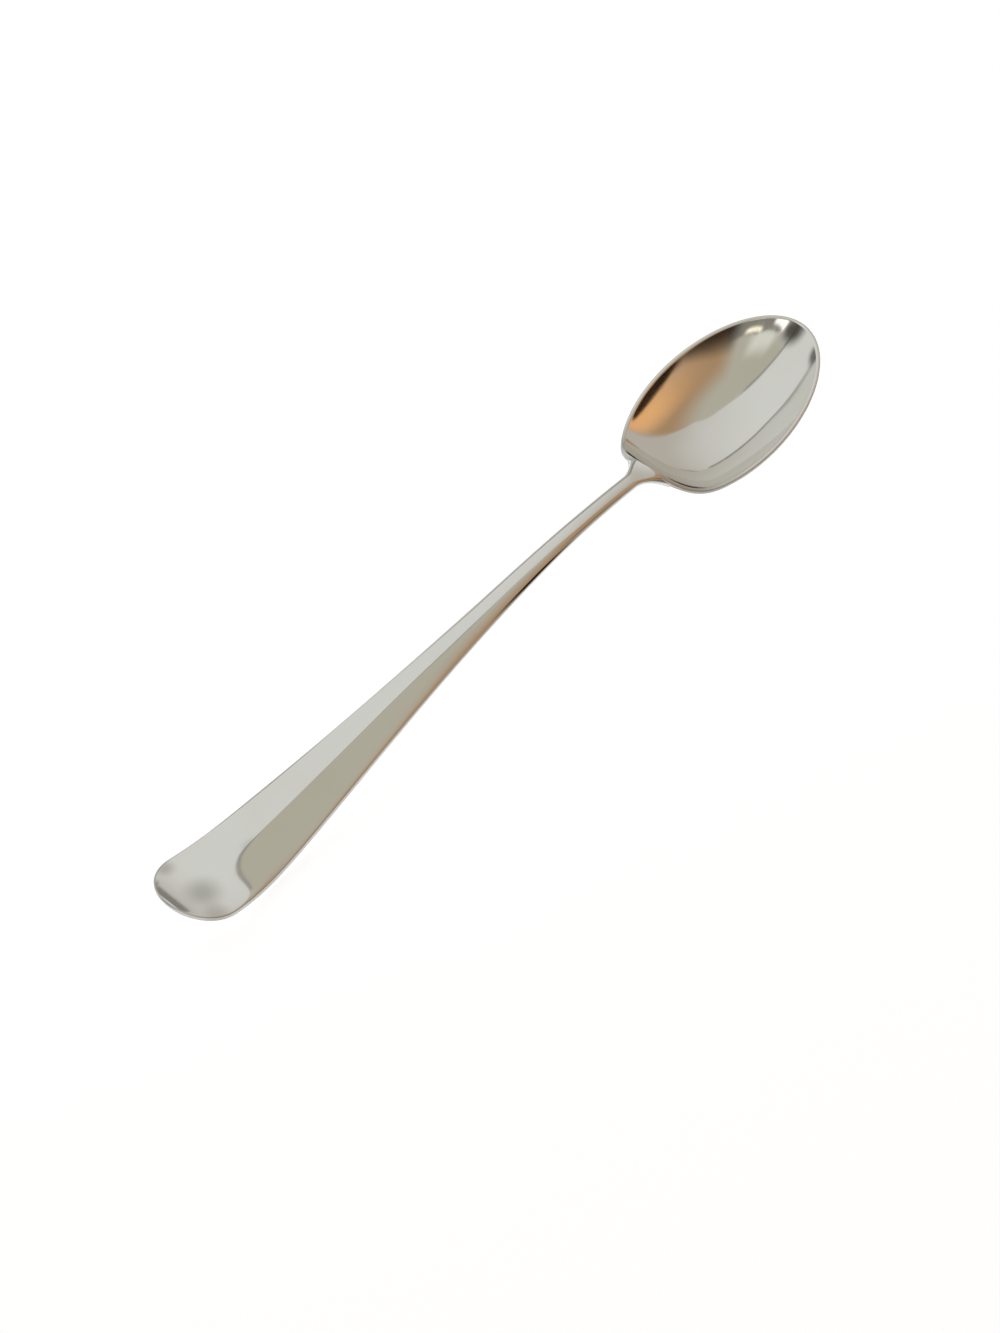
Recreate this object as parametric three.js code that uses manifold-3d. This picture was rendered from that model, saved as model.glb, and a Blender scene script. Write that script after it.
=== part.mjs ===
// A plain silver serving spoon: a raised bowl, a forged stem that laps under the bowl's heel, and the hard solder
// between them. Millimetres, +Z up, +X from the handle to the tip of the bowl, resting on the plane Z = 0.
import * as THREE from "three";
import { mergeVertices } from "three/addons/utils/BufferGeometryUtils.js";
import Module from "manifold-3d";

const wasm = await Module();
wasm.setup();

// Driving dimensions of the bowl
const overallLength = 250;
const bowlLength = 70.6;
const bowlWidth = 43.2;
const bowlDepth = 10.6; // inside, below the middle of the rim
const bowlFullness = 2.3; // 2 is a parabola, a higher value has a flatter bottom and steeper sides
const bowlWall = 1.2;
const rimWidth = 1.2; // flat land round the mouth
const rimEdge = 1.0; // height of the rim's outer edge
const rimBevel = 0.25;
const widestTowardsHeel = 1.3; // the widest place, from the middle of the bowl
const rimTilt = 10.8; // degrees, tip up
const heelLift = 8.4; // the rim sweeps up to the stem by this much
const heelLiftLength = 14;
const bowlFlatDepth = 0.15; // what wear has taken off the lowest place

// Driving dimensions of the stem
const endWidth = 22.9;
const endRoundLength = 11;
const endTurnLength = 24; // from the tip of the handle to its lowest place
const endTurnRise = 6.2;
const endTurnAngle = 31; // degrees, at the tip
const ridgeHeight = 2;
const ridgeStart = 34; // full height, from the tip of the handle
const ridgeFade = 101; // the ridge runs out over this length
const stemRidge = 0.35; // what is left of it along the narrow stem
const noseRounding = 1.2; // bluntness of the ridge where it starts, as a share of half the width
const crestRounding = 0.025; // the same along the handle
const stemRounding = 0.8; // the same on the narrow stem
const stemWidth = 4.8;
const archHeight = 15.9;
const archFromHeel = 27;
const spreadFromHeel = 5; // where the stem starts to spread into its shoulders
const endEdge = 1.6; // thickness at the edges
const stemEdge = 2.1;
const endBelly = 0.4; // how far the underside bulges
const stemBelly = 1.3;
const endSquareness = 9; // 2 is an oval section, a higher value has squarer edges
const stemSquareness = 2.3;
const tipRounding = 0.9;
const handleFlatDepth = 0.1;

// Where the inner control points of the stem's curves sit, as shares of each curve's length
const turnShares = [0.25, 0.62];
const shaftShares = [0.17, 0.72];
const neckShares = [0.4, 0.7];
const neckSlope = 0.1; // the neck's fall just before the heel
const taperShares = [0.16, 0.48];

// Driving dimensions of the joint
const shoulderWidth = 15;
const shoulderSweep = 8;
const dropLength = 10; // the stem's tongue under the bowl
const dropEdge = 0.6;
const solderThickness = 0.3;
const solderClearance = 0.1; // between the solder and each of its neighbours

// Numbers of rings and points
const bowlRings = 11;
const bowlPoints = 60;
const tipRings = 7;
const shaftRings = 30;
const neckRings = 12;
const sectionSteps = 12; // across the upper face, and again across the underside

const halfLength = bowlLength / 2;
const halfWidth = bowlWidth / 2;
const bowlMiddle = overallLength - halfLength;
const heel = overallLength - bowlLength;
const rimSlope = Math.tan(THREE.MathUtils.degToRad(rimTilt));
const outerDepth = bowlDepth + bowlWall;

// A closed body from a start point, rings of equally many points, and an end point.
function skin(start, rings, end) {
  const count = rings[0].length;
  const points = [start, ...rings.flat(), end];
  const index = [];
  const at = (ring, i) => 1 + ring * count + (i % count);
  for (let i = 0; i < count; i++) {
    index.push(0, at(0, i), at(0, i + 1));
    for (let ring = 0; ring < rings.length - 1; ring++) {
      index.push(at(ring, i), at(ring + 1, i), at(ring + 1, i + 1));
      index.push(at(ring, i), at(ring + 1, i + 1), at(ring, i + 1));
    }
    index.push(points.length - 1, at(rings.length - 1, i + 1), at(rings.length - 1, i));
  }
  const geometry = new THREE.BufferGeometry().setFromPoints(points);
  geometry.setIndex(index);
  return geometry;
}

function toSolid(geometry) {
  const bare = new THREE.BufferGeometry();
  bare.setAttribute("position", geometry.getAttribute("position"));
  bare.setIndex(geometry.getIndex());
  const merged = mergeVertices(bare, 1e-4);
  const triVerts = new Uint32Array(merged.index.array);
  return new wasm.Manifold(
    new wasm.Mesh({ numProp: 3, vertProperties: merged.attributes.position.array, triVerts }),
  );
}

function toGeometry(solid) {
  const mesh = solid.getMesh();
  const geometry = new THREE.BufferGeometry();
  geometry.setAttribute("position", new THREE.BufferAttribute(mesh.vertProperties, 3));
  geometry.setIndex(new THREE.BufferAttribute(mesh.triVerts, 1));
  geometry.computeVertexNormals();
  return geometry;
}

// The bowl's outline in plan, an ellipse whose widest place is moved towards the heel.
function outline(angle, grow) {
  const sine = Math.sin(angle);
  return {
    x: (halfLength + grow) * Math.cos(angle) - widestTowardsHeel * sine * sine,
    y: (halfWidth + grow) * sine,
  };
}

// How far the rim stands above its tilted plane: nothing but at the heel, where it sweeps up to the stem.
function rimSweep(angle) {
  const fromHeel = outline(angle, 0).x + halfLength;
  return heelLift * Math.max(0, 1 - fromHeel / heelLiftLength) ** 2.5;
}

// A point of a dish that follows the rim: share is 0 in the middle and 1 at the edge, and drop is how far the
// dish's edge lies below the top of the rim.
function dishPoint(angle, share, grow, depth, drop, rimHeight) {
  const { x, y } = outline(angle, grow);
  const hollow = (depth - drop) * (1 - share ** bowlFullness) + drop;
  const sweep = rimSweep(angle) * share ** 5;
  return new THREE.Vector3(
    bowlMiddle + share * x,
    share * y,
    rimHeight + rimSlope * share * x + sweep - hollow,
  );
}

function lowestOfBowl() {
  let lowest = 0;
  for (let share = 0; share < 1; share += 0.005)
    lowest = Math.min(lowest, dishPoint(Math.PI, share, 0, outerDepth, rimEdge, 0).z);
  return lowest;
}
const rimHeight = -lowestOfBowl() - bowlFlatDepth; // of the middle of the rim's plane

const bowlAngles = Array.from({ length: bowlPoints }, (_, i) => (2 * Math.PI * i) / bowlPoints);
const bowlShares = Array.from({ length: bowlRings }, (_, i) => (i + 1) / bowlRings);

function dishRing(share, grow, depth, drop) {
  return bowlAngles.map((angle) => dishPoint(angle, share, grow, depth, drop, rimHeight));
}

function bowlGeometry() {
  const inside = bowlShares.map((share) => dishRing(share, -rimWidth, bowlDepth, 0));
  const outside = bowlShares.map((share) => dishRing(share, 0, outerDepth, rimEdge)).reverse();
  const edge = [dishRing(1, -rimBevel, 0, 0), dishRing(1, 0, rimBevel, rimBevel)];
  const middleIn = dishPoint(0, 0, -rimWidth, bowlDepth, 0, rimHeight);
  const middleOut = dishPoint(0, 0, 0, outerDepth, rimEdge, rimHeight);
  return skin(middleIn, [...inside, ...edge, ...outside], middleOut);
}

// The bowl's outer shape as one block, grown on all sides and carried up past the rim.
function bowlBlock(grow) {
  const above = 6;
  const outside = bowlShares.map((share) => dishRing(share, grow, outerDepth + grow, rimEdge)).reverse();
  const top = dishRing(1, grow, -above, -above);
  const middleTop = new THREE.Vector3(bowlMiddle, 0, rimHeight + above);
  const middleOut = dishPoint(0, 0, grow, outerDepth + grow, rimEdge, rimHeight);
  return toSolid(skin(middleTop, [top, ...outside], middleOut));
}

// The value of a curve at x, for a curve whose x only grows.
function heightAt(curve, x) {
  let low = 0;
  let high = 1;
  for (let i = 0; i < 40; i++) {
    const middle = (low + high) / 2;
    if (curve.getPoint(middle).x < x) low = middle;
    else high = middle;
  }
  return curve.getPoint(low).y;
}

function bezier(...pairs) {
  return new THREE.CubicBezierCurve(...pairs.map(([x, y]) => new THREE.Vector2(x, y)));
}

const { clamp, lerp, smoothstep } = THREE.MathUtils;
const spreadStart = heel - spreadFromHeel;
const alongShaft = (x) => clamp((x - endTurnLength) / (spreadStart - endTurnLength), 0, 1);
const edgeThickness = (x) => lerp(endEdge, stemEdge, Math.min(1, x / (0.3 * heel)));
const belly = (x) => lerp(endBelly, stemBelly, alongShaft(x));
const squareness = (x) => lerp(stemSquareness, endSquareness, (1 - alongShaft(x)) ** 3);

function ridge(x) {
  const start = smoothstep(x, ridgeStart / 8, ridgeStart);
  const rest = clamp((x - ridgeStart) / ridgeFade, 0, 1);
  return start * lerp(ridgeHeight, stemRidge, rest);
}

// The ridge's height at a place across: blunt where it starts, sharp along the handle, blunt on the narrow stem.
function roof(x, across) {
  const nose = lerp(noseRounding, crestRounding, smoothstep(x, 0.35 * ridgeStart, ridgeStart));
  const blunt = nose + stemRounding * smoothstep(alongShaft(x), 0.32, 0.76);
  const fall = (Math.hypot(across, blunt) - blunt) / (Math.hypot(1, blunt) - blunt);
  return ridge(x) * (1 - fall);
}

// The line of the upper edges from the side: up at the tip, down to the rest, and over the arch to the heel.
const lowTop = edgeThickness(endTurnLength) + belly(endTurnLength) - handleFlatDepth;
const tipTop = lowTop + endTurnRise;
const tipSlope = Math.tan(THREE.MathUtils.degToRad(endTurnAngle));
const archX = heel - archFromHeel;
const heelTop = rimHeight - rimSlope * halfLength + heelLift;
const turnLine = bezier(
  [0, tipTop],
  [endTurnLength * turnShares[0], tipTop - tipSlope * endTurnLength * turnShares[0]],
  [endTurnLength * turnShares[1], lowTop],
  [endTurnLength, lowTop],
);
const shaftLine = bezier(
  [endTurnLength, lowTop],
  [lerp(endTurnLength, archX, shaftShares[0]), lowTop],
  [lerp(endTurnLength, archX, shaftShares[1]), archHeight],
  [archX, archHeight],
);
const neckLine = bezier(
  [archX, archHeight],
  [lerp(archX, heel, neckShares[0]), archHeight],
  [lerp(archX, heel, neckShares[1]), heelTop + neckSlope * archFromHeel * (1 - neckShares[1])],
  [heel, heelTop],
);
const taperLine = bezier(
  [endRoundLength, endWidth / 2],
  [lerp(endRoundLength, spreadStart, taperShares[0]), endWidth / 2],
  [lerp(endRoundLength, spreadStart, taperShares[1]), stemWidth / 2],
  [spreadStart, stemWidth / 2],
);

function topEdge(x) {
  if (x <= endTurnLength) return heightAt(turnLine, x);
  return x <= archX ? heightAt(shaftLine, x) : heightAt(neckLine, x);
}

function halfWidthOfStem(x) {
  if (x >= endRoundLength) return heightAt(taperLine, x);
  return (endWidth / 2) * Math.sqrt(1 - (1 - x / endRoundLength) ** 2);
}

// Places across a section: -1 to 1 over the upper face, then back along the underside.
const upperPlaces = Array.from({ length: sectionSteps + 1 }, (_, i) => (2 * i) / sectionSteps - 1);
const lowerPlaces = upperPlaces.slice(1, -1).reverse();

function sectionPoint(x, place, upper) {
  const across = Math.sin((place * Math.PI) / 2);
  const square = squareness(x);
  const round = Math.max(0, 1 - Math.abs(across) ** square) ** (1 / square);
  const blunt = Math.sqrt(1 - Math.max(0, 1 - x / tipRounding) ** 2);
  const halfEdge = edgeThickness(x) / 2;
  const above = halfEdge + roof(x, across);
  const below = halfEdge + belly(x) * (1 - across * across);
  const z = topEdge(x) - halfEdge + (upper ? above : -below) * round * blunt;
  return new THREE.Vector3(x, halfWidthOfStem(x) * across, z);
}

function sectionRing(x) {
  const upper = upperPlaces.map((place) => sectionPoint(x, place, true));
  const lower = lowerPlaces.map((place) => sectionPoint(x, place, false));
  return [...upper, ...lower];
}

// The ring where the neck ends: over the land of the rim above, and round the tongue under the bowl.
const shoulderAngle = Math.asin(shoulderWidth / bowlWidth);
const jointGrow = solderThickness + 2 * solderClearance;

function jointPoint(place, upper, grow) {
  const angle = Math.PI - place * shoulderAngle;
  if (upper) {
    const inset = -rimWidth * (1 - place ** 4);
    const drop = (rimEdge / 2) * place ** 8;
    return dishPoint(angle, 1, inset, drop, drop, rimHeight);
  }
  const share = 1 - (dropLength / halfLength) * (1 - Math.abs(place) ** 2.2);
  return dishPoint(angle, share, grow, outerDepth + grow, rimEdge, rimHeight);
}

// The way the neck runs in at its end: along the rim at the shoulders, and inwards between them, over the land
// above and down the slope of the bowl's back below.
const downTheBack = new THREE.Vector3(0.75, 0, -0.66);

function jointRun(place, upper) {
  const angle = Math.PI - place * shoulderAngle;
  const here = dishPoint(angle, 1, 0, 0, 0, rimHeight);
  const beside = dishPoint(angle - Math.sign(place) * 0.05, 1, 0, 0, 0, rimHeight);
  const inside = dishPoint(angle, 1, -1, 0, 0, rimHeight);
  const alongRim = beside.sub(here).normalize();
  const inward = upper ? inside.sub(here).normalize() : downTheBack.clone();
  const turn = place * place;
  return alongRim.multiplyScalar(turn).add(inward.multiplyScalar(1 - turn)).multiplyScalar(shoulderSweep);
}

function neckPoint(place, upper, share) {
  const from = sectionPoint(spreadStart, place, upper);
  const before = sectionPoint(spreadStart - 1, place, upper);
  const to = jointPoint(place, upper, jointGrow + dropEdge * (1 - place ** 4));
  const length = from.distanceTo(to);
  const leave = from.clone().sub(before).multiplyScalar(length);
  const run = jointRun(place, upper);
  const t = share;
  return new THREE.Vector3()
    .addScaledVector(from, 2 * t ** 3 - 3 * t ** 2 + 1)
    .addScaledVector(leave, t ** 3 - 2 * t ** 2 + t)
    .addScaledVector(to, 3 * t ** 2 - 2 * t ** 3)
    .addScaledVector(run, t ** 3 - t ** 2);
}

function neckRing(share) {
  const upper = upperPlaces.map((place) => neckPoint(place, true, share));
  const lower = lowerPlaces.map((place) => neckPoint(place, false, share));
  return [...upper, ...lower];
}

function innerRing() {
  const upper = upperPlaces.map((place) => jointPoint(place, true, 0).add(new THREE.Vector3(2, 0, -0.5)));
  const lower = lowerPlaces.map((place) => jointPoint(place, false, -2).add(new THREE.Vector3(2, 0, 0)));
  return [...upper, ...lower];
}

function stemBlock() {
  const tip = sectionPoint(0, 0, true);
  const tipXs = Array.from({ length: tipRings }, (_, i) => {
    return endRoundLength * (1 - Math.cos(((i + 1) / (tipRings + 1)) * (Math.PI / 2)));
  });
  const shaftXs = Array.from({ length: shaftRings + 1 }, (_, i) => {
    return lerp(endRoundLength, spreadStart, i / shaftRings);
  });
  const shaft = [...tipXs, ...shaftXs].map(sectionRing);
  const neck = Array.from({ length: neckRings }, (_, i) => neckRing((i + 1) / neckRings));
  const last = innerRing();
  const middle = last.reduce((sum, point) => sum.add(point), new THREE.Vector3());
  return toSolid(skin(tip, [...shaft, ...neck, last], middle.divideScalar(last.length)));
}

// Everything below the plane the spoon rests on.
function table() {
  const thickness = 10;
  const slab = new THREE.BoxGeometry(2 * overallLength, 2 * overallLength, thickness);
  slab.translate(overallLength / 2, 0, -thickness / 2);
  return toSolid(slab);
}

const below = table();
const wholeStem = stemBlock();
const bowlSolid = toSolid(bowlGeometry()).subtract(below);
const stemSolid = wholeStem.subtract(bowlBlock(jointGrow)).subtract(below);
const solderLayer = bowlBlock(jointGrow - solderClearance).subtract(bowlBlock(solderClearance));
const solderSolid = wholeStem.intersect(solderLayer);

const silver = { color: 0xc9c6bf, metalness: 1, roughness: 0.18 };
const bowl = new THREE.Mesh(toGeometry(bowlSolid), new THREE.MeshStandardMaterial(silver));
bowl.name = "bowl";
const stem = new THREE.Mesh(toGeometry(stemSolid), new THREE.MeshStandardMaterial(silver));
stem.name = "stem";
const solderLook = { color: 0xb9b6ac, metalness: 1, roughness: 0.35 };
const solder = new THREE.Mesh(toGeometry(solderSolid), new THREE.MeshStandardMaterial(solderLook));
solder.name = "solder_seam";

const group = new THREE.Group();
group.add(bowl, stem, solder);

// The origin is the middle of the underside of the spoon's bounding box.
const box = new THREE.Box3().setFromObject(group);
group.children.forEach((mesh) => {
  mesh.geometry.translate(-(box.min.x + box.max.x) / 2, -(box.min.y + box.max.y) / 2, -box.min.z);
});

export default group;
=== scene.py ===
"""A polished silver serving spoon on a pale table: bowl, stem and the solder between them."""

import bpy
import numpy as np
from mathutils import Matrix, Vector


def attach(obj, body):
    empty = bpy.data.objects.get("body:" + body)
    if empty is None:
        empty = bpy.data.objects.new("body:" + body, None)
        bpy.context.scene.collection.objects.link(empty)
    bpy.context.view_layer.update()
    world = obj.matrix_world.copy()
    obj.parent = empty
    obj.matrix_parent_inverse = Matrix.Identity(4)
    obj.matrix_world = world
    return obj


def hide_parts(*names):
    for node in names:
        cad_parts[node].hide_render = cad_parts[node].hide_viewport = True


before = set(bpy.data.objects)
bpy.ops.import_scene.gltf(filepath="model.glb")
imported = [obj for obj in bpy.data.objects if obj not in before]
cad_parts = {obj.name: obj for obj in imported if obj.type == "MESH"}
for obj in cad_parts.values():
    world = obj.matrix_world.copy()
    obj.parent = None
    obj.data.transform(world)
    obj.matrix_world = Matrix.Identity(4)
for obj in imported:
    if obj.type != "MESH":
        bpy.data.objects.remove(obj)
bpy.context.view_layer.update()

MILLIMETRE = 0.001

# Sizes of the bowl, in millimetres and degrees, and the powers of its curves
OVERALL_LENGTH = 250.0
BOWL_LENGTH = 70.6
BOWL_WIDTH = 43.2
BOWL_DEPTH = 10.6
BOWL_FULLNESS = 2.3
BOWL_WALL = 1.2
BOWL_FLAT_DEPTH = 0.15
RIM_WIDTH = 1.2
RIM_EDGE = 1.0
RIM_CROWN = 0.2
RIM_ROUNDING = 0.2
INNER_ROUNDING = 0.07
RIM_TILT = 10.8
WIDEST_TOWARDS_HEEL = 1.3
HEEL_LIFT = 8.4
HEEL_LIFT_LENGTH = 14.0
HEEL_LIFT_POWER = 2.5
SWEEP_POWER = 5

# Sizes of the stem, in millimetres and degrees
END_WIDTH = 22.9
END_ROUND_LENGTH = 11.0
END_TURN_LENGTH = 24.0
END_TURN_RISE = 6.2
END_TURN_ANGLE = 31.0
RIDGE_HEIGHT = 2.0
RIDGE_START = 34.0
RIDGE_FADE = 101.0
STEM_RIDGE = 0.35
STEM_WIDTH = 5.1
ARCH_HEIGHT = 15.9
ARCH_FROM_HEEL = 27.0
SPREAD_FROM_HEEL = 6.5
END_EDGE = 1.6
STEM_EDGE = 2.1
END_BELLY = 0.4
STEM_BELLY = 1.3
TIP_ROUNDING = 0.9
HANDLE_FLAT_DEPTH = 0.1

# Forms of the stem's sections, and where they change, as shares
END_SQUARENESS = 9.0
STEM_SQUARENESS = 2.3
NOSE_ROUNDING = 1.2
CREST_ROUNDING = 0.025
STEM_ROUNDING = 0.8
NOSE_SHARE = 0.35
BLUNT_FROM, BLUNT_TO = 0.32, 0.76
EDGE_GROWTH = 0.3

# Handles of the stem's Bezier curves, as shares of their lengths
TURN_HANDLES = (0.25, 0.62)
SHAFT_HANDLES = (0.17, 0.72)
NECK_HANDLES = (0.4, 0.3)
NECK_RISE = 0.03
TAPER_HANDLES = (0.16, 0.44)

# Sizes of the joint, in millimetres and radians, and shares of the wall, of the neck's run and
# of the shoulders' angle
SHOULDER_WIDTH = 15.0
SHOULDER_SWEEP = 8.0
RIM_STEP = 0.05
RUN_BELOW = (0.75, 0, -0.66)
DROP_LENGTH = 10.0
DROP_POWER = 2.2
DROP_EDGE = 1.1
KNEE_SHARE = 0.06
HIDDEN_SHARE = 0.4
FLUSH_LIFT = 0.015
FLAT_LAND, CROWNED_LAND = 0.7, 1.6
SOLDER_BEAD = 0.32
SOLDER_STAND = 0.12
SOLDER_REACH = 0.97

# Painted shade on the edges and on the land near the heel, from 0 to 1, with angles round the rim
# in radians, and the places across a section where it starts and is full
RIM_EDGE_SHADE = 0.6
HEEL_LAND_SHADE = 0.5
HEEL_LAND_SHADE_ANGLES = (0.6, 1.3)
SHAFT_EDGE_SHADE = 0.42
NECK_EDGE_SHADE = 0.35
TIP_EDGE_SHADE = 1
TIP_EDGE_SHADE_SPREAD = 0.02
EDGE_SHADE_START, EDGE_SHADE_FULL = 0.955, 0.99

# Numbers of points, rings and steps
BOWL_POINTS = 288
INNER_RINGS = 72
OUTER_RINGS = 56
ROUNDING_RINGS = 7
LAND_RINGS = 9
SECTION_STEPS = 64
TIP_RINGS = 36
SHAFT_RINGS = 160
NECK_RINGS = 52
DROP_RINGS = 7
CAP_ROWS = 12
SOLDER_STEPS = 121
SOLDER_SIDES = 14
BEZIER_STEPS = 2001
LOWEST_STEPS = 400

# Sizes that follow from those above
HALF_LENGTH = BOWL_LENGTH / 2
HALF_WIDTH = BOWL_WIDTH / 2
BOWL_MIDDLE = OVERALL_LENGTH - HALF_LENGTH
HEEL = OVERALL_LENGTH - BOWL_LENGTH
RIM_SLOPE = np.tan(np.radians(RIM_TILT))
OUTER_DEPTH = BOWL_DEPTH + BOWL_WALL
LAND_INSIDE = INNER_ROUNDING - RIM_WIDTH
SPREAD_START = HEEL - SPREAD_FROM_HEEL
ARCH_X = HEEL - ARCH_FROM_HEEL
RIDGE_FOOT = RIDGE_START / 8
SHOULDER_ANGLE = np.arcsin(SHOULDER_WIDTH / BOWL_WIDTH)


def blend(start, end, share):
    """Straight mix of two values: start plus share of the way to end."""
    return start + (end - start) * share


def fade(value, low, high):
    """Smooth step: 0 below low, 1 above high, and 3t^2 - 2t^3 between."""
    share = np.clip((value - low) / (high - low), 0, 1)
    return share * share * (3 - 2 * share)


def bezier_height(x, *pairs):
    """Height at x of a cubic Bezier curve through four (x, height) pairs, whose x only grows."""
    t = np.linspace(0, 1, BEZIER_STEPS)
    weights = np.stack([(1 - t) ** 3, 3 * t * (1 - t) ** 2, 3 * t * t * (1 - t), t**3], -1)
    curve = weights @ np.array(pairs, float)
    return np.interp(x, curve[:, 0], curve[:, 1])


def unit(vectors):
    """Vectors scaled to length 1."""
    return vectors / np.linalg.norm(vectors, axis=-1, keepdims=True)


def rounded(start, corner, end, steps):
    """Rings of a quadratic Bezier from the start ring, past the corner ring, to the end ring."""
    t = np.linspace(0, 1, steps)[:, None, None]
    return (1 - t) ** 2 * start + 2 * t * (1 - t) * corner + t * t * end


def in_frame(points):
    """Points in millimetres from the handle's tip, turned into metres from the spoon's middle."""
    return (points - [OVERALL_LENGTH / 2, 0, 0]) * MILLIMETRE


def add_object(name, data):
    """An object that shows a mesh or is a camera, put into the scene."""
    thing = bpy.data.objects.new(name, data)
    bpy.context.scene.collection.objects.link(thing)
    return thing


def add_piece(name, points, faces, edge_shade):
    """A smooth mesh from points in millimetres from the handle's tip, each with its painted shade.
    """
    mesh = bpy.data.meshes.new(name)
    corners = [face for group in faces for face in group.tolist()]
    mesh.from_pydata(in_frame(points).tolist(), [], corners)
    mesh.polygons.foreach_set("use_smooth", np.ones(len(mesh.polygons), bool))
    mesh.attributes.new("edge", "FLOAT", "POINT").data.foreach_set("value", edge_shade)
    mesh.update()
    return add_object(name, mesh)


def ring_faces(ring_count, points, first):
    """Quads between neighbouring rings of equally many points, the first one at index first."""
    ring, point = np.meshgrid(np.arange(ring_count - 1), np.arange(points), indexing="ij")
    here = first + ring * points
    after = (point + 1) % points
    quads = [here + point, here + points + point, here + points + after, here + after]
    return np.stack(quads, -1).reshape(-1, 4)


def fan_faces(pole, ring_start, points, reverse):
    """Triangles from one pole to a ring, turned round at the far end of a body."""
    point = np.arange(points)
    here = ring_start + point
    after = ring_start + (point + 1) % points
    sides = (after, here) if reverse else (here, after)
    return np.stack([np.full(points, pole), *sides], -1)


def closed_body(name, first, rings, last, edge_shade):
    """Rings joined by quads and closed by a fan at each end, with the painted shade of each ring's
    points.
    """
    count, points = rings.shape[:2]
    vertices = np.concatenate([first[None], rings.reshape(-1, 3), last[None]])
    faces = [
        fan_faces(0, 1, points, False),
        ring_faces(count, points, 1),
        fan_faces(len(vertices) - 1, 1 + (count - 1) * points, points, True),
    ]
    return add_piece(name, vertices, faces, np.concatenate([[0], edge_shade.ravel(), [0]]))


def bowl_outline(angle, grow):
    """Ellipse in plan, grown all round, with its widest place moved back by the sine squared."""
    x = (HALF_LENGTH + grow) * np.cos(angle) - WIDEST_TOWARDS_HEEL * np.sin(angle) ** 2
    return x, (HALF_WIDTH + grow) * np.sin(angle)


def rim_sweep(angle):
    """Rise of the rim at the heel: the lift times a power of the nearness to the heel."""
    from_heel = bowl_outline(angle, 0)[0] + HALF_LENGTH
    return HEEL_LIFT * np.clip(1 - from_heel / HEEL_LIFT_LENGTH, 0, None) ** HEEL_LIFT_POWER


def dish(angle, share, grow, depth, drop, rim_height):
    """Dish that follows the rim: the outline times share, hollowed by 1 - share to the fullness."""
    x, y = bowl_outline(angle, grow)
    hollow = (depth - drop) * (1 - share**BOWL_FULLNESS) + drop
    z = rim_height + RIM_SLOPE * share * x + rim_sweep(angle) * share**SWEEP_POWER - hollow
    return np.stack(np.broadcast_arrays(BOWL_MIDDLE + share * x, share * y, z), -1)


LOWEST = dish(np.pi, np.linspace(0, 1, LOWEST_STEPS), 0, OUTER_DEPTH, RIM_EDGE, 0)[:, 2].min()
RIM_HEIGHT = -LOWEST - BOWL_FLAT_DEPTH


def bowl_point(angle, share, grow, depth, drop):
    """The dish at the height at which its worn underside touches the table."""
    return dish(angle, share, grow, depth, drop, RIM_HEIGHT)


def land_drop(angle, grow):
    """Fall of the land from its middle: the crown times the way squared, none under the neck."""
    from_heel = np.abs(angle - np.pi)
    clear_of_neck = fade(from_heel, FLAT_LAND * SHOULDER_ANGLE, CROWNED_LAND * SHOULDER_ANGLE)
    return RIM_CROWN * clear_of_neck * (2 * grow / RIM_WIDTH + 1) ** 2


def make_bowl():
    """One skin from the middle of the inside, over the rounded rim, to the middle of the outside."""
    angle = 2 * np.pi * np.arange(BOWL_POINTS)[None] / BOWL_POINTS

    def rim_ring(grow, depth, drop):
        """The edge of a dish, where its share is 1."""
        return bowl_point(angle, 1, grow, depth, drop)[0]

    def land_ring(grow, below=0):
        """A ring on the crowned land, or so far below it."""
        drop = land_drop(angle, grow) + below
        return rim_ring(grow, drop, drop)

    wall_shares = np.linspace(0, 1 - INNER_ROUNDING / HALF_WIDTH, INNER_RINGS)[1:, None]
    inner_drop = land_drop(angle, -RIM_WIDTH)
    inner = bowl_point(angle, wall_shares, -RIM_WIDTH, BOWL_DEPTH, inner_drop)
    land_grows = np.linspace(LAND_INSIDE, -RIM_ROUNDING, LAND_RINGS)
    land = np.stack([land_ring(grow) for grow in land_grows])
    inner_edge = rounded(inner[-1], land_ring(-RIM_WIDTH), land[0], ROUNDING_RINGS)[1:]
    land = land[1:]
    below_land = land_ring(0, RIM_ROUNDING)
    outer_edge = rounded(land[-1], land_ring(0), below_land, ROUNDING_RINGS)[1:]
    foot_drop = RIM_EDGE - RIM_ROUNDING
    edge_foot = rim_ring(0, foot_drop, foot_drop)
    outer_shares = np.linspace(1 - RIM_ROUNDING / HALF_WIDTH, 0, OUTER_RINGS)[:-1, None]
    outer = bowl_point(angle, outer_shares, 0, OUTER_DEPTH, RIM_EDGE)
    lower_corner = rim_ring(0, OUTER_DEPTH, RIM_EDGE)
    lower_edge = rounded(edge_foot, lower_corner, outer[0], ROUNDING_RINGS)
    rings = np.concatenate([inner, inner_edge, land, outer_edge, lower_edge, outer[1:]])
    rings[..., 2] = np.maximum(rings[..., 2], 0)
    middle_in = bowl_point(0.0, 0.0, -RIM_WIDTH, BOWL_DEPTH, 0)
    middle_out = bowl_point(0.0, 0.0, 0, OUTER_DEPTH, RIM_EDGE)
    middle_out[2] = max(middle_out[2], 0)

    # Painted shade: a darker land near the heel, and darker rounded edges round the rim's outside
    edge_shade = np.zeros(rings.shape[:2])
    land_start = len(inner) + len(inner_edge)
    land_end = land_start + len(land)
    edge_shade[land_start:land_end] = HEEL_LAND_SHADE * (1 - fade(np.abs(angle - np.pi), *HEEL_LAND_SHADE_ANGLES))
    edge_shade[land_end : -len(outer) + 2] = RIM_EDGE_SHADE
    return closed_body("polished_bowl", middle_in, rings, middle_out, edge_shade)


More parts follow.
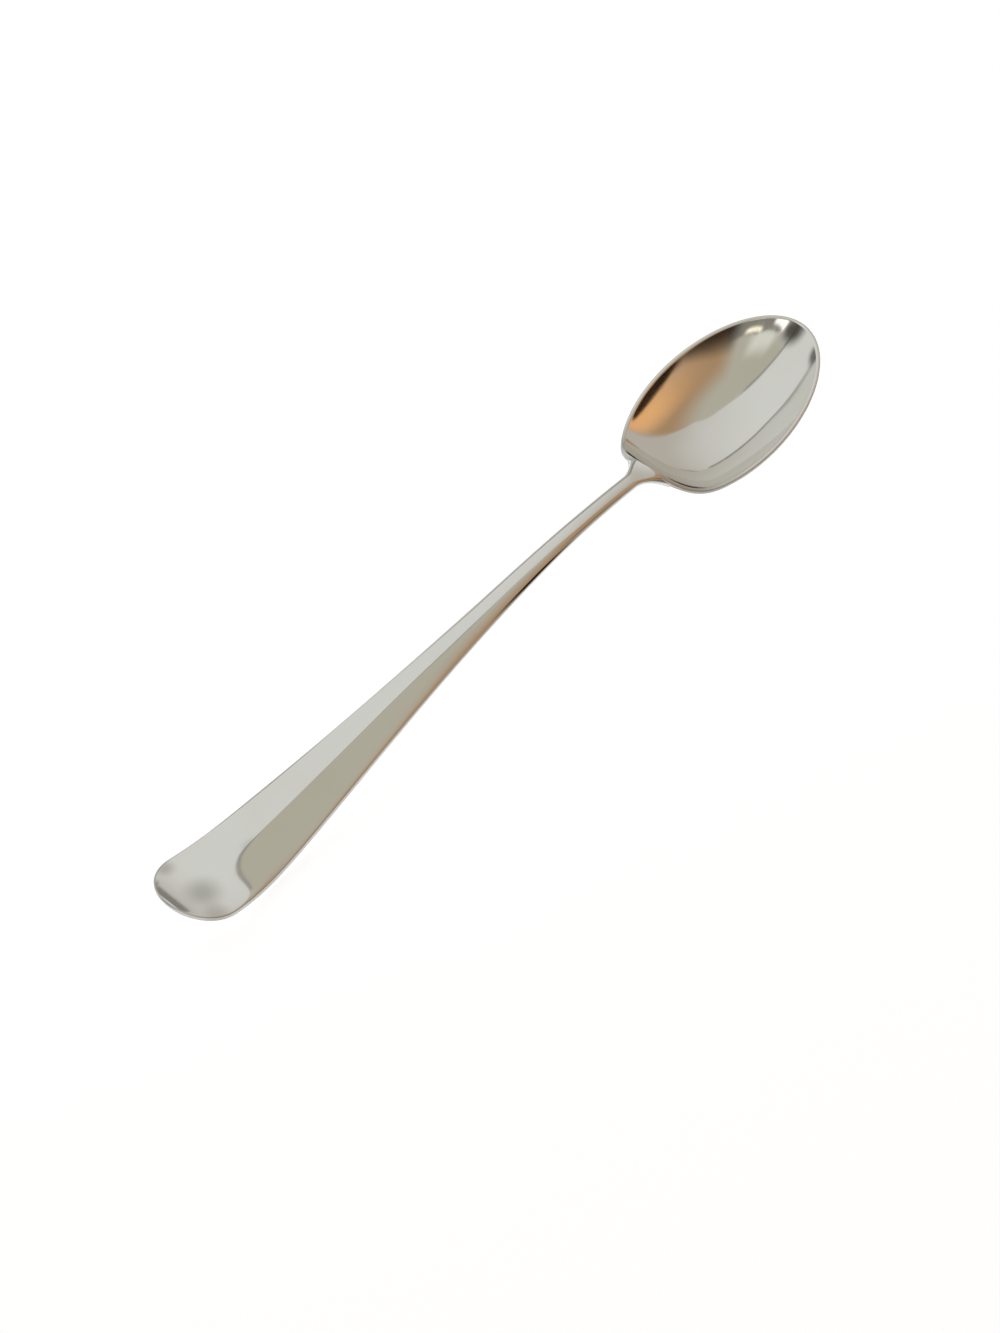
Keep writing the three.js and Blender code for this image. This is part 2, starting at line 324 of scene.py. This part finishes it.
def along_shaft(x):
    """0 at the end's lowest place, 1 where the stem starts to spread."""
    return np.clip((x - END_TURN_LENGTH) / (SPREAD_START - END_TURN_LENGTH), 0, 1)


def edge_thickness(x):
    """Thickness at the edges, growing evenly over the first part of the stem."""
    return blend(END_EDGE, STEM_EDGE, np.minimum(1, x / (EDGE_GROWTH * HEEL)))


def belly(x):
    """How far the underside bulges, growing evenly along the shaft."""
    return blend(END_BELLY, STEM_BELLY, along_shaft(x))


def squareness(x):
    """Power of the section's oval: high at the thin flat end, falling by a cube to the stem."""
    return blend(STEM_SQUARENESS, END_SQUARENESS, (1 - along_shaft(x)) ** 3)


def ridge(x):
    """Height of the mid-rib: it swells up past the turned end and runs out along the shaft."""
    rest = np.clip((x - RIDGE_START) / RIDGE_FADE, 0, 1)
    return fade(x, RIDGE_FOOT, RIDGE_START) * blend(RIDGE_HEIGHT, STEM_RIDGE, rest)


def roof(x, across):
    """The rib across a section, a hyperbola: blunt at its start and on the stem, sharp between."""
    sharp = fade(x, NOSE_SHARE * RIDGE_START, RIDGE_START)
    blunt = blend(NOSE_ROUNDING, CREST_ROUNDING, sharp)
    blunt = blunt + STEM_ROUNDING * fade(along_shaft(x), BLUNT_FROM, BLUNT_TO)
    fall = (np.hypot(across, blunt) - blunt) / (np.hypot(1, blunt) - blunt)
    return ridge(x) * (1 - fall)


LOW_TOP = edge_thickness(END_TURN_LENGTH) + belly(END_TURN_LENGTH) - HANDLE_FLAT_DEPTH
TIP_TOP = LOW_TOP + END_TURN_RISE
TIP_SLOPE = np.tan(np.radians(END_TURN_ANGLE))
HEEL_TOP = RIM_HEIGHT - RIM_SLOPE * HALF_LENGTH + HEEL_LIFT


def top_edge(x):
    """Line of the upper edges from the side: three Bezier curves, down from the turned end to
    its lowest place, up to the arch, and down to the heel."""
    turn_first, turn_second = (END_TURN_LENGTH * share for share in TURN_HANDLES)
    turn = bezier_height(
        x,
        (0, TIP_TOP),
        (turn_first, TIP_TOP - TIP_SLOPE * turn_first),
        (turn_second, LOW_TOP),
        (END_TURN_LENGTH, LOW_TOP),
    )
    shaft_first, shaft_second = (blend(END_TURN_LENGTH, ARCH_X, share) for share in SHAFT_HANDLES)
    shaft = bezier_height(
        x,
        (END_TURN_LENGTH, LOW_TOP),
        (shaft_first, LOW_TOP),
        (shaft_second, ARCH_HEIGHT),
        (ARCH_X, ARCH_HEIGHT),
    )
    neck_first, neck_second = (ARCH_FROM_HEEL * share for share in NECK_HANDLES)
    neck = bezier_height(
        x,
        (ARCH_X, ARCH_HEIGHT),
        (ARCH_X + neck_first, ARCH_HEIGHT),
        (HEEL - neck_second, HEEL_TOP + ARCH_FROM_HEEL * NECK_RISE),
        (HEEL, HEEL_TOP),
    )
    return np.where(x <= END_TURN_LENGTH, turn, np.where(x <= ARCH_X, shaft, neck))


def half_width(x):
    """Half the stem's width: a round end, then a taper along one Bezier curve."""
    first, second = (blend(END_ROUND_LENGTH, SPREAD_START, share) for share in TAPER_HANDLES)
    taper = bezier_height(
        x,
        (END_ROUND_LENGTH, END_WIDTH / 2),
        (first, END_WIDTH / 2),
        (second, STEM_WIDTH / 2),
        (SPREAD_START, STEM_WIDTH / 2),
    )
    end = END_WIDTH / 2 * np.sqrt(np.clip(1 - (1 - x / END_ROUND_LENGTH) ** 2, 0, 1))
    return np.where(x >= END_ROUND_LENGTH, taper, end)


def section(x, place, upper):
    """Superellipse with a roof: half the edge plus the rib above, or the belly below, times its
    rounding. Place runs from -1 at the right edge to 1 at the left."""
    across = np.sin(place * np.pi / 2)
    power = squareness(x)
    round_off = np.clip(1 - np.abs(across) ** power, 0, 1) ** (1 / power)
    blunt = np.sqrt(1 - np.clip(1 - x / TIP_ROUNDING, 0, 1) ** 2)
    half_edge = edge_thickness(x) / 2
    above = half_edge + roof(x, across)
    below = half_edge + belly(x) * (1 - across**2)
    z = top_edge(x) - half_edge + np.where(upper, above, -below) * round_off * blunt
    return np.stack(np.broadcast_arrays(x, half_width(x) * across, z), -1)


def joint_angle(place):
    """The bowl's angle at a place of the joint: the heel at 0, a shoulder at -1 and at 1."""
    return np.pi - place * SHOULDER_ANGLE


def joint_above(place):
    """Where the neck ends on the rim's land: flush between the shoulders, on its edge at them."""
    angle = joint_angle(place)
    inset = LAND_INSIDE * (1 - place**4)
    drop = land_drop(angle, inset) + RIM_EDGE / 2 * place**8 - FLUSH_LIFT
    return bowl_point(angle, 1, inset, drop, drop)


def drop_share(place):
    """Share of the dish at the drop's edge: 1, less the drop's length times 1 - place to a power."""
    return 1 - DROP_LENGTH / HALF_LENGTH * (1 - np.abs(place) ** DROP_POWER)


def joint_below(place, grow):
    """Edge of the rounded drop on the bowl's back, so far outside it."""
    depth = OUTER_DEPTH + grow
    return bowl_point(joint_angle(place), drop_share(place), grow, depth, RIM_EDGE)


def joint_run(place, upper):
    """Direction in which the neck runs in: along the rim at the shoulders, inwards between them."""
    angle = joint_angle(place)
    here = bowl_point(angle, 1, 0, 0, 0)
    further = angle - np.where(place < 0, -RIM_STEP, RIM_STEP)
    along_rim = unit(bowl_point(further, 1, 0, 0, 0) - here)
    on_land = unit(bowl_point(angle, 1, -1, 0, 0) - here)
    inward = np.where(upper[:, None], on_land, RUN_BELOW)
    turn = (place**2)[:, None]
    return SHOULDER_SWEEP * (turn * along_rim + (1 - turn) * inward)


def neck_rings(start, places, upper):
    """A Hermite loft from the shaft's last ring to the joint, then the drop's edge, rounded
    into the bowl's wall."""
    above = upper[:, None]
    drop_edge = DROP_EDGE * (1 - places**4)
    end = np.where(above, joint_above(places), joint_below(places, drop_edge))
    before = section(np.full(len(places), SPREAD_START - 1), places, upper)
    leave = (start - before) * np.linalg.norm(end - start, axis=-1, keepdims=True)
    run = joint_run(places, upper)
    t = np.linspace(0, 1, NECK_RINGS)[1:, None, None]
    loft = (
        (2 * t**3 - 3 * t**2 + 1) * start
        + (t**3 - 2 * t**2 + t) * leave
        + (3 * t**2 - 2 * t**3) * end
        + (t**3 - t**2) * run
    )
    hidden_above = joint_above(places) - [0, 0, RIM_EDGE * HIDDEN_SHARE]
    hidden = np.where(above, hidden_above, joint_below(places, -BOWL_WALL * HIDDEN_SHARE))
    knee = np.where(above, (end + hidden) / 2, end + run * KNEE_SHARE)
    return np.concatenate([loft, rounded(end, knee, hidden, DROP_RINGS)[1:]])


def cap_points(places):
    """Rows of points in the middle of the bowl's wall, from the rim to the drop's edge."""
    rows = np.linspace(0, 1, CAP_ROWS + 1)[1:-1, None]
    share = blend(1, drop_share(places), rows)
    middle = BOWL_WALL / 2
    depth = BOWL_DEPTH + middle
    return bowl_point(joint_angle(places), share, -middle, depth, RIM_EDGE * HIDDEN_SHARE)


def cap_faces(ring_start, points, upper_count):
    """Faces from the upper half of the last ring, over the rows of the cap, to its lower half."""
    index = np.empty((CAP_ROWS + 1, upper_count), int)
    lower = np.arange(points - 1, upper_count - 1, -1)
    index[0] = ring_start + np.arange(upper_count)
    index[-1] = ring_start + np.concatenate([[0], lower, [upper_count - 1]])
    inside = index[1:-1, 1:-1]
    inside[:] = ring_start + points + np.arange(inside.size).reshape(inside.shape)
    index[1:-1, 0] = index[0, 0]
    index[1:-1, -1] = index[0, -1]
    corners = [index[:-1, 1:-2], index[1:, 1:-2], index[1:, 2:-1], index[:-1, 2:-1]]
    quads = np.stack(corners, -1).reshape(-1, 4)
    right = np.stack([index[:-1, 0], index[1:, 1], index[:-1, 1]], -1)
    left = np.stack([index[:-1, -1], index[:-1, -2], index[1:, -2]], -1)
    return [quads, right, left]


def make_stem():
    """Sections along the shaft, the neck with its drop, and a cap hidden in the bowl's wall."""
    steps = np.arange(-SECTION_STEPS, SECTION_STEPS + 1) / SECTION_STEPS
    upper_places = np.sign(steps) * (1 - np.cos(np.pi * np.abs(steps))) / 2
    places = np.concatenate([upper_places, upper_places[-2:0:-1]])
    count = len(upper_places)
    points = len(places)
    upper = np.arange(points) < count
    tip_turn = np.pi / 2 * np.arange(1, TIP_RINGS) / TIP_RINGS
    shaft_x = np.linspace(END_ROUND_LENGTH, SPREAD_START, SHAFT_RINGS)
    stations = np.concatenate([END_ROUND_LENGTH * (1 - np.cos(tip_turn)), shaft_x])
    shaft = section(stations[:, None], places[None], upper[None])
    neck = neck_rings(shaft[-1], places, upper)
    rings = np.concatenate([shaft, neck])
    rings[..., 2] = np.maximum(rings[..., 2], 0)
    tip = section(np.array(0.0), np.array(0.0), True)
    cap = cap_points(upper_places[None, 1:-1]).reshape(-1, 3)
    vertices = np.concatenate([tip[None], rings.reshape(-1, 3), cap])
    faces = [fan_faces(0, 1, points, False), ring_faces(len(rings), points, 1)]
    faces += cap_faces(1 + (len(rings) - 1) * points, points, count)

    # Painted shade on the edges of the shaft and neck, full at the handle's tip
    across = np.sin(places * np.pi / 2)[None]
    to_tip = np.clip(1 - stations / END_ROUND_LENGTH, 0, 1)[:, None]
    outwards = np.hypot(to_tip, across * np.sqrt(1 - to_tip**2))
    shade_start = EDGE_SHADE_START - TIP_EDGE_SHADE_SPREAD * to_tip
    shaft_shade = fade(outwards, shade_start, EDGE_SHADE_FULL) * SHAFT_EDGE_SHADE
    neck_shade = NECK_EDGE_SHADE * fade(np.abs(across), EDGE_SHADE_START, EDGE_SHADE_FULL)
    neck_shade = np.repeat(neck_shade, len(neck), axis=0)
    edge_shades = [[TIP_EDGE_SHADE], shaft_shade.ravel(), neck_shade.ravel(), np.zeros(len(cap))]
    return add_piece("polished_stem", vertices, faces, np.concatenate(edge_shades))


def make_solder():
    """A bead round the drop: circles along the drop's edge, thinning to nothing at its ends."""
    place = np.linspace(-SOLDER_REACH, SOLDER_REACH, SOLDER_STEPS)
    path = joint_below(place, SOLDER_STAND)
    ahead = unit(np.gradient(path, axis=0))
    outward = unit(joint_below(place, SOLDER_STAND + 1) - path)
    across = unit(np.cross(ahead, outward))
    turn = (2 * np.pi * np.arange(SOLDER_SIDES) / SOLDER_SIDES)[None, :, None]
    radius = SOLDER_BEAD * np.sqrt(1 - (place / SOLDER_REACH) ** 2)
    circle = np.cos(turn) * across[:, None] + np.sin(turn) * outward[:, None]
    rings = (path[:, None] + radius[:, None, None] * circle)[1:-1]
    edge_shade = np.zeros(rings.shape[:2])
    return closed_body("solder_seam_bead", path[0], rings, path[-1], edge_shade)


class Wire:
    """A shader socket: + - * / and ** on it add Math nodes, and add() makes any other node."""

    def __init__(self, tree, socket=None):
        self.tree = tree
        self.socket = socket

    def add(self, kind, settings=(), inputs=(), output=0):
        """A node of that type, its settings made first, then its sockets given values or links."""
        node = self.tree.nodes.new(kind)
        for name, value in dict(settings).items():
            setattr(node, name, value)
        for name, value in dict(inputs).items():
            if isinstance(value, Wire):
                self.tree.links.new(value.socket, node.inputs[name])
            else:
                node.inputs[name].default_value = value
        return Wire(self.tree, node.outputs[output] if node.outputs else None)

    def maths(self, operation, *values):
        """A Math node on these values or wires."""
        return self.add("ShaderNodeMath", {"operation": operation}, dict(enumerate(values)))

    def __add__(self, other):
        return self.maths("ADD", self, other)

    def __sub__(self, other):
        return self.maths("SUBTRACT", self, other)

    def __rsub__(self, other):
        return self.maths("SUBTRACT", other, self)

    def __mul__(self, other):
        return self.maths("MULTIPLY", self, other)

    def __truediv__(self, other):
        return self.maths("DIVIDE", self, other)

    def __pow__(self, other):
        return self.maths("POWER", self, other)

    __radd__ = __add__

    def rise(self, low, high):
        """Smooth step of this value: 0 at low and 1 at high, which may be the smaller one."""
        inputs = {"Value": self, "From Min": low, "From Max": high}
        return self.add("ShaderNodeMapRange", {"interpolation_type": "SMOOTHSTEP"}, inputs)

    def mix(self, first, second):
        """Colour between two colours, by this value."""
        inputs = {0: self, 6: first, 7: second}
        return self.add("ShaderNodeMix", {"data_type": "RGBA"}, inputs, 2)


def new_material(name):
    """A material with an empty node tree, and a wire to draw it with."""
    material = bpy.data.materials.new(name)
    material.use_nodes = True
    material.node_tree.nodes.clear()
    return material, Wire(material.node_tree)


# Colours of the metal
SILVER = (0.86, 0.85, 0.82, 1)
TARNISH = (0.60, 0.53, 0.40, 1)
SOLDER = (0.74, 0.72, 0.66, 1)
DULL = (0.41, 0.40, 0.355, 1)
# Painted shade for the edges
SHADED_EDGE = (0.24, 0.23, 0.21, 1)

# Relief of the ripples and of the buffing lines and scratches, its distance in metres
RIPPLE_RELIEF = {"Strength": 0.25, "Distance": 0.0012}
LINE_RELIEF = {"Strength": 0.06, "Distance": 0.00004}


def silver(name, colour, polish, grain_turn, marks=()):
    """Polished silver: buffing lines, scratches, faint ripples, tarnish, darker spots, painted edge
    shade.
    """
    material, pen = new_material(name)
    place = pen.add("ShaderNodeTexCoord", output=3)

    def noise(scale, detail, turn=0.0, finer=1):
        """Noise with its grain turned, and so many times finer across the grain."""
        mapping = {"Vector": place, "Rotation": (0, 0, turn), "Scale": (1, finer, finer)}
        grid = pen.add("ShaderNodeMapping", {}, mapping)
        inputs = {"Vector": grid, "Scale": scale, "Detail": detail}
        return pen.add("ShaderNodeTexNoise", {}, inputs)

    buffing = noise(60, 3.0, grain_turn, finer=34)
    scratch_a = noise(90, 2.0, grain_turn + 0.7, finer=40).rise(0.66, 0.74)
    scratch_b = noise(80, 2.0, grain_turn - 0.45, finer=44).rise(0.67, 0.75)
    scratches = (scratch_a + scratch_b) * 0.5
    ripple = noise(38, 1.0)
    clouds = noise(55, 4.0, 0.3).rise(0.45, 0.8)
    base = (clouds * 0.10).mix(colour, TARNISH)
    for centre, inner, outer, strength in marks:
        inputs = {0: place, 1: centre}
        distance = pen.add("ShaderNodeVectorMath", {"operation": "DISTANCE"}, inputs, 1)
        base = (distance.rise(outer, inner) * strength).mix(base, DULL)
    # Painted shade: by the edge attribute, the edges are darker, rougher and less metallic
    edge = pen.add("ShaderNodeAttribute", {"attribute_name": "edge"}, output=2)
    base = (edge * 0.7).mix(base, SHADED_EDGE)
    roughness = polish + (buffing - 0.5) * 0.05 + scratches * 0.10 + clouds * 0.03 + edge * 0.5
    waves = pen.add("ShaderNodeBump", {}, {**RIPPLE_RELIEF, "Height": ripple})
    lines = buffing * 0.25 + scratches * 0.5
    relief = pen.add("ShaderNodeBump", {}, {**LINE_RELIEF, "Height": lines, "Normal": waves})
    metallic = 1 - edge * 0.8
    inputs = {"Base Color": base, "Metallic": metallic, "Roughness": roughness, "Normal": relief}
    surface = pen.add("ShaderNodeBsdfPrincipled", {}, inputs)
    pen.add("ShaderNodeOutputMaterial", {}, {"Surface": surface})
    return material


def dress(piece, node, material):
    """Gives a piece its material, and its place and finish in the frame."""
    piece.data.materials.append(material)
    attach(piece, "root")
    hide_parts(node)


def on_handle(x, place):
    """A place on the handle's upper face, in metres in the frame."""
    return tuple(in_frame(section(np.array(x), np.array(place), True)))


# Darker spots on the handle's end: place, inner and outer radius in metres, and how strong
END_MARKS = (
    (on_handle(9.3, -0.12), 0.0005, 0.0066, 0.62),
    (on_handle(7.0, -0.66), 0.0005, 0.0048, 0.45),
    (on_handle(8.0, 0.72), 0.0005, 0.0040, 0.55),
)


def make_spoon():
    """The three pieces, each with its own finish."""
    bowl = make_bowl()
    stem = make_stem()
    solder = make_solder()
    bowl_finish = silver("bowl_silver_polish", SILVER, polish=0.07, grain_turn=0.15)
    dress(bowl, "bowl", bowl_finish)
    stem_finish = silver(
        "stem_silver_polish", SILVER, polish=0.08, grain_turn=0.0, marks=END_MARKS
    )
    dress(stem, "stem", stem_finish)
    solder_finish = silver("filed_solder", SOLDER, polish=0.3, grain_turn=0.4)
    dress(solder, "solder_seam", solder_finish)


def add_square(name, corners):
    """One flat face with four corners, in metres."""
    mesh = bpy.data.meshes.new(name)
    mesh.from_pydata([tuple(corner) for corner in corners], [], [(0, 1, 2, 3)])
    return add_object(name, mesh)


# Pale floor, which shows white to the camera and to the metal and keeps the spoon's shadow
FLOOR_HALF = 8.0
FLOOR_PAINT = (0.86, 0.885, 0.91, 1)
FLOOR_GLOW = (0.98, 1, 1.06, 1)
FLOOR_GLOW_STRENGTH = 0.62
FLOOR_GLOW_RAYS = ("Is Camera Ray", "Is Glossy Ray", "Is Transmission Ray")


def make_floor():
    """A flat square under the spoon: diffuse paint, and a glow that only camera, mirror and
    transmission rays see."""
    sides = ((-1, -1), (1, -1), (1, 1), (-1, 1))
    floor = add_square("floor", [(x * FLOOR_HALF, y * FLOOR_HALF, 0) for x, y in sides])
    material, pen = new_material("pale_paper")
    paint = pen.add("ShaderNodeBsdfDiffuse", {}, {"Color": FLOOR_PAINT})
    seen = [pen.add("ShaderNodeLightPath", output=ray) for ray in FLOOR_GLOW_RAYS]
    shown = pen.maths("MAXIMUM", pen.maths("MAXIMUM", seen[0], seen[1]), seen[2])
    inputs = {"Color": FLOOR_GLOW, "Strength": shown * FLOOR_GLOW_STRENGTH}
    glow = pen.add("ShaderNodeEmission", {}, inputs)
    both = pen.add("ShaderNodeAddShader", {}, {0: paint, 1: glow})
    pen.add("ShaderNodeOutputMaterial", {}, {"Surface": both})
    floor.data.materials.append(material)


def make_card(name, corners, shade):
    """A flat card that the camera doesn't see, its shader drawn by shade from the place on it."""
    card = add_square(name, corners)
    card.visible_camera = False
    material, pen = new_material(name + "_light")
    place = pen.add("ShaderNodeTexCoord", output=3)
    pen.add("ShaderNodeOutputMaterial", {}, {"Surface": shade(pen, place)})
    card.data.materials.append(material)
    return card


# Soft light panel that leans over the far side of the spoon, in metres: places as (distance out,
# height)
PANEL_FACING = (0.515, 0.857)
PANEL_ACROSS = (PANEL_FACING[1], -PANEL_FACING[0], 0)
PANEL_TOP = (0.0, 0.340)
PANEL_FOOT = (0.80, 0.05)
PANEL_HALF_LENGTH = 1.6
PANEL_LIGHT = 0.70
PANEL_LEFT = (1, 1.01, 0.98, 1)
PANEL_RIGHT = (0.71, 0.665, 0.59, 1)
PANEL_FRAME = (0.45, 0.44, 0.39, 1)
PANEL_SKIRT = (0.34, 0.33, 0.30, 1)
PANEL_CORNER = (0.07, 0.06, 0.05, 1)


def panel_corners(low, high):
    """Corners of a sloping rectangle between two level lines, each as (distance out, height)."""
    across = np.array(PANEL_ACROSS) * PANEL_HALF_LENGTH
    out = np.array([*PANEL_FACING, 0])
    sides = ((-1, low), (1, low), (1, high), (-1, high))
    return [out * way + across * side + [0, 0, height] for side, (way, height) in sides]


def spot(along, beside, rim, core):
    """An oval spot: 0 from the rim outwards and 1 from the core inwards, by the distance."""
    return ((along * along + beside * beside) ** 0.5).rise(rim, core)


def panel_shade(pen, place):
    """White light, dimmer and warmer to the right, with a grey frame along its top, a dark skirt
    low down and two dark corners on the left. Out and across are in millimetres."""
    ways = ((*PANEL_FACING, 0), PANEL_ACROSS)
    product = {"operation": "DOT_PRODUCT"}
    dots = [pen.add("ShaderNodeVectorMath", product, {0: place, 1: way}, 1) for way in ways]
    out, across = (dot * 1000 for dot in dots)

    # The lit part starts at a border that steps up on the right and gets soft there
    from_top = out - 110 + across.rise(110, 190) * 36
    lit = (from_top / (across.rise(200, 640) * 60 + 2)).rise(-1, 1)
    frame_band = from_top.rise(-17, -15) * across.rise(80, 20) * (1 - lit)

    # The skirt lies lower and fades on the left, and stays dark to the foot in its end part
    below = out - 445 - across.rise(80, -150) * 90
    below = below - across.rise(150, 170) * across.rise(262, 190) * 28
    end_part = across.rise(150, 180) * across.rise(310, 275)
    skirt = below.rise(-14, 14) * (1 - below.rise(50, 110) * (0.6 - end_part * 0.6))
    skirt = skirt * (across.rise(-190, 0) * 0.5 + 0.5)

    # The upper corner is a slanting oval, and the lower one an upright oval
    along = ((out - 85) * -0.94 + (across + 165) * 0.34) / 130
    beside = ((out - 85) * 0.34 + (across + 165) * 0.94) / 50
    high_corner = spot(along, beside, 1.3, 0.3) * 0.96
    low_corner = spot((out - 500) / 110, (across + 207) / 28, 1.3, 0.4) * 0.85
    corner = pen.maths("MAXIMUM", high_corner, low_corner)

    colour = across.rise(-40, 340).mix(PANEL_LEFT, PANEL_RIGHT)
    colour = frame_band.mix(colour, PANEL_FRAME)
    colour = corner.mix(skirt.mix(colour, PANEL_SKIRT), PANEL_CORNER)
    glow = pen.add("ShaderNodeEmission", {}, {"Color": colour, "Strength": PANEL_LIGHT})
    clear = pen.add("ShaderNodeBsdfTransparent")
    shown = pen.maths("MAXIMUM", pen.maths("MAXIMUM", lit, frame_band), corner)
    return pen.add("ShaderNodeMixShader", {}, {0: shown, 1: clear, 2: glow})


# Card that stands to the right of the spoon and shows only in its reflections
SIDE_CARD_Y = -0.060
SIDE_CARD_WIDTH = (0.010, 0.240)
SIDE_CARD_HEIGHT = 0.135
WARM_GLOW = (0.84, 0.46, 0.197, 1)
DARK_FELT = (0.02, 0.011, 0.007, 1)


def side_shade(pen, place):
    """A warm glow over a dark foot for the bowl, and a dark post for the narrow stem, clear round
    about. The places x along the spoon and z up are in millimetres."""
    x, z = (pen.add("ShaderNodeSeparateXYZ", {}, {0: place}, axis) * 1000 for axis in (0, 2))
    warm = x.rise(96, 150) * x.rise(232, 168) * z.rise(28, 44) * z.rise(128, 62)
    foot_top = pen.maths("MAXIMUM", 115 - x, 0) * 1.12 + 56.5
    foot_soft = pen.maths("MAXIMUM", 122 - x, 0) * 0.8 + 2.5
    foot_low = pen.maths("MAXIMUM", 115 - x, 0) + 50
    foot = x.rise(68, 86) * x.rise(178, 162)
    foot = foot * (z - foot_low).rise(-8, 0) * ((z - foot_top) / foot_soft).rise(1, -0.3)
    post = x.rise(18, 36) * x.rise(66, 50) * z.rise(6, 30) * z.rise(105, 85)
    glow = pen.add("ShaderNodeEmission", {}, {"Color": WARM_GLOW})
    felt = pen.add("ShaderNodeEmission", {}, {"Color": DARK_FELT})
    clear = pen.add("ShaderNodeBsdfTransparent")
    behind_felt = pen.add("ShaderNodeMixShader", {}, {0: warm, 1: clear, 2: glow})
    dark = pen.maths("MAXIMUM", foot, post)
    return pen.add("ShaderNodeMixShader", {}, {0: dark, 1: behind_felt, 2: felt})


def make_side_card():
    """The side card, which neither lights nor shades the floor."""
    left, right = SIDE_CARD_WIDTH
    sides = ((left, 0), (right, 0), (right, SIDE_CARD_HEIGHT), (left, SIDE_CARD_HEIGHT))
    card = make_card("side_card", [(x, SIDE_CARD_Y, z) for x, z in sides], side_shade)
    card.visible_diffuse = False
    card.visible_shadow = False


# Room round the table
ROOM_LIGHT = 0.84
CEILING = (0.572, 0.548, 0.458, 1)
CEILING_GLOW = (0.87, 0.88, 0.78, 1)
PALE_WALL = (0.86, 0.85, 0.83, 1)
BROWN_WALL = (0.50, 0.325, 0.185, 1)
LOW_WALL = (0.40, 0.375, 0.33, 1)
BACK_WALL = (0.29, 0.275, 0.245, 1)
WINDOW = (1.5, 1.48, 1.44, 1)
LAMP = (1.5, 1.4, 1.1, 1)


def make_room():
    """Colours of the room by direction: pale low down, brown on the right, a dark wall with a
    window and a lamp behind, an olive ceiling. Bearings and heights are in degrees."""
    world = bpy.data.worlds.new("room")
    bpy.context.scene.world = world
    world.use_nodes = True
    world.node_tree.nodes.clear()
    pen = Wire(world.node_tree)
    way = pen.add("ShaderNodeTexCoord")
    x, y, z = (pen.add("ShaderNodeSeparateXYZ", {}, {0: way}, axis) for axis in range(3))
    degrees = 180 / np.pi
    height = pen.maths("ARCSINE", z) * degrees
    bearing = pen.maths("ARCTAN2", y, x) * degrees
    behind = pen.maths("ARCTAN2", y * -1, x * -1) * degrees

    def near(middle, outer, inner):
        """1 within inner degrees of a bearing behind, 0 beyond outer."""
        return pen.maths("ABSOLUTE", behind - middle).rise(outer, inner)

    brown = bearing.rise(-124, -96) * bearing.rise(14, -14) * height.rise(80, 50)
    glow = near(16, 36, 12) * height.rise(70, 60)
    left_fall = pen.maths("MAXIMUM", behind - 35, 0) * 0.25
    right_fall = pen.maths("MAXIMUM", -5 - behind, 0) * 0.3
    wall_top = 56.3 - left_fall - right_fall
    wall = near(0, 76, 62) * height.rise(20, 30) * (height - wall_top).rise(0.8, -0.8)
    lamp_height = pen.maths("ABSOLUTE", height - 52.5 + (behind - 42) * 0.2)
    lamp = near(41, 16, 8) * lamp_height.rise(1.6, 0.5)
    window = near(-4, 18, 11) * height.rise(48.5, 49.5) * height.rise(54.4, 53.2)
    colour = height.rise(8, 16).mix(PALE_WALL, CEILING)
    colour = glow.mix(colour, CEILING_GLOW)
    colour = brown.mix(colour, height.rise(18, 42).mix(LOW_WALL, BROWN_WALL))
    colour = wall.mix(colour, BACK_WALL)
    colour = window.mix(lamp.mix(colour, LAMP), WINDOW)
    light = pen.add("ShaderNodeBackground", {}, {"Color": colour, "Strength": ROOM_LIGHT})
    pen.add("ShaderNodeOutputWorld", {}, {"Surface": light})


# The camera stands where the photograph was taken from: aim, distance and lens in millimetres,
# angles in degrees, and the nearest visible distance in metres
CAMERA_AIM = (0, 0, 8.0)
CAMERA_AZIMUTH = -40.47
CAMERA_ELEVATION = 48.59
CAMERA_DISTANCE = 590.0
CAMERA_PAN = -0.33
CAMERA_TILT = -1.70
CAMERA_LENS = 61.03
CAMERA_NEAREST = 0.01


def make_camera():
    """Looks at the aim from an azimuth and elevation, then turns by the pan, positive to the
    right, and by the tilt, positive upwards."""
    angles = (CAMERA_AZIMUTH, CAMERA_ELEVATION, CAMERA_PAN, CAMERA_TILT)
    azimuth, elevation, pan, tilt = np.radians(angles)
    flat = np.cos(elevation)
    forward = Vector((np.cos(azimuth) * flat, -np.sin(azimuth) * flat, -np.sin(elevation)))
    place = Vector(CAMERA_AIM) - forward * CAMERA_DISTANCE
    right = forward.cross(Vector((0, 0, 1))).normalized()
    up = right.cross(forward)
    panned = forward * np.cos(pan) + right * np.sin(pan)
    right = right * np.cos(pan) - forward * np.sin(pan)
    look = panned * np.cos(tilt) + up * np.sin(tilt)
    up = up * np.cos(tilt) - panned * np.sin(tilt)
    lens = bpy.data.cameras.new("camera")
    lens.lens = CAMERA_LENS
    lens.clip_start = CAMERA_NEAREST
    camera = add_object("camera", lens)
    turn = Matrix((right, up, -look)).transposed().to_4x4()
    camera.matrix_world = Matrix.Translation(place * MILLIMETRE) @ turn
    bpy.context.scene.camera = camera


make_spoon()
make_floor()
make_card("light_panel", panel_corners(PANEL_FOOT, PANEL_TOP), panel_shade)
make_side_card()
make_room()
make_camera()
bpy.context.scene.view_settings.view_transform = "Standard"
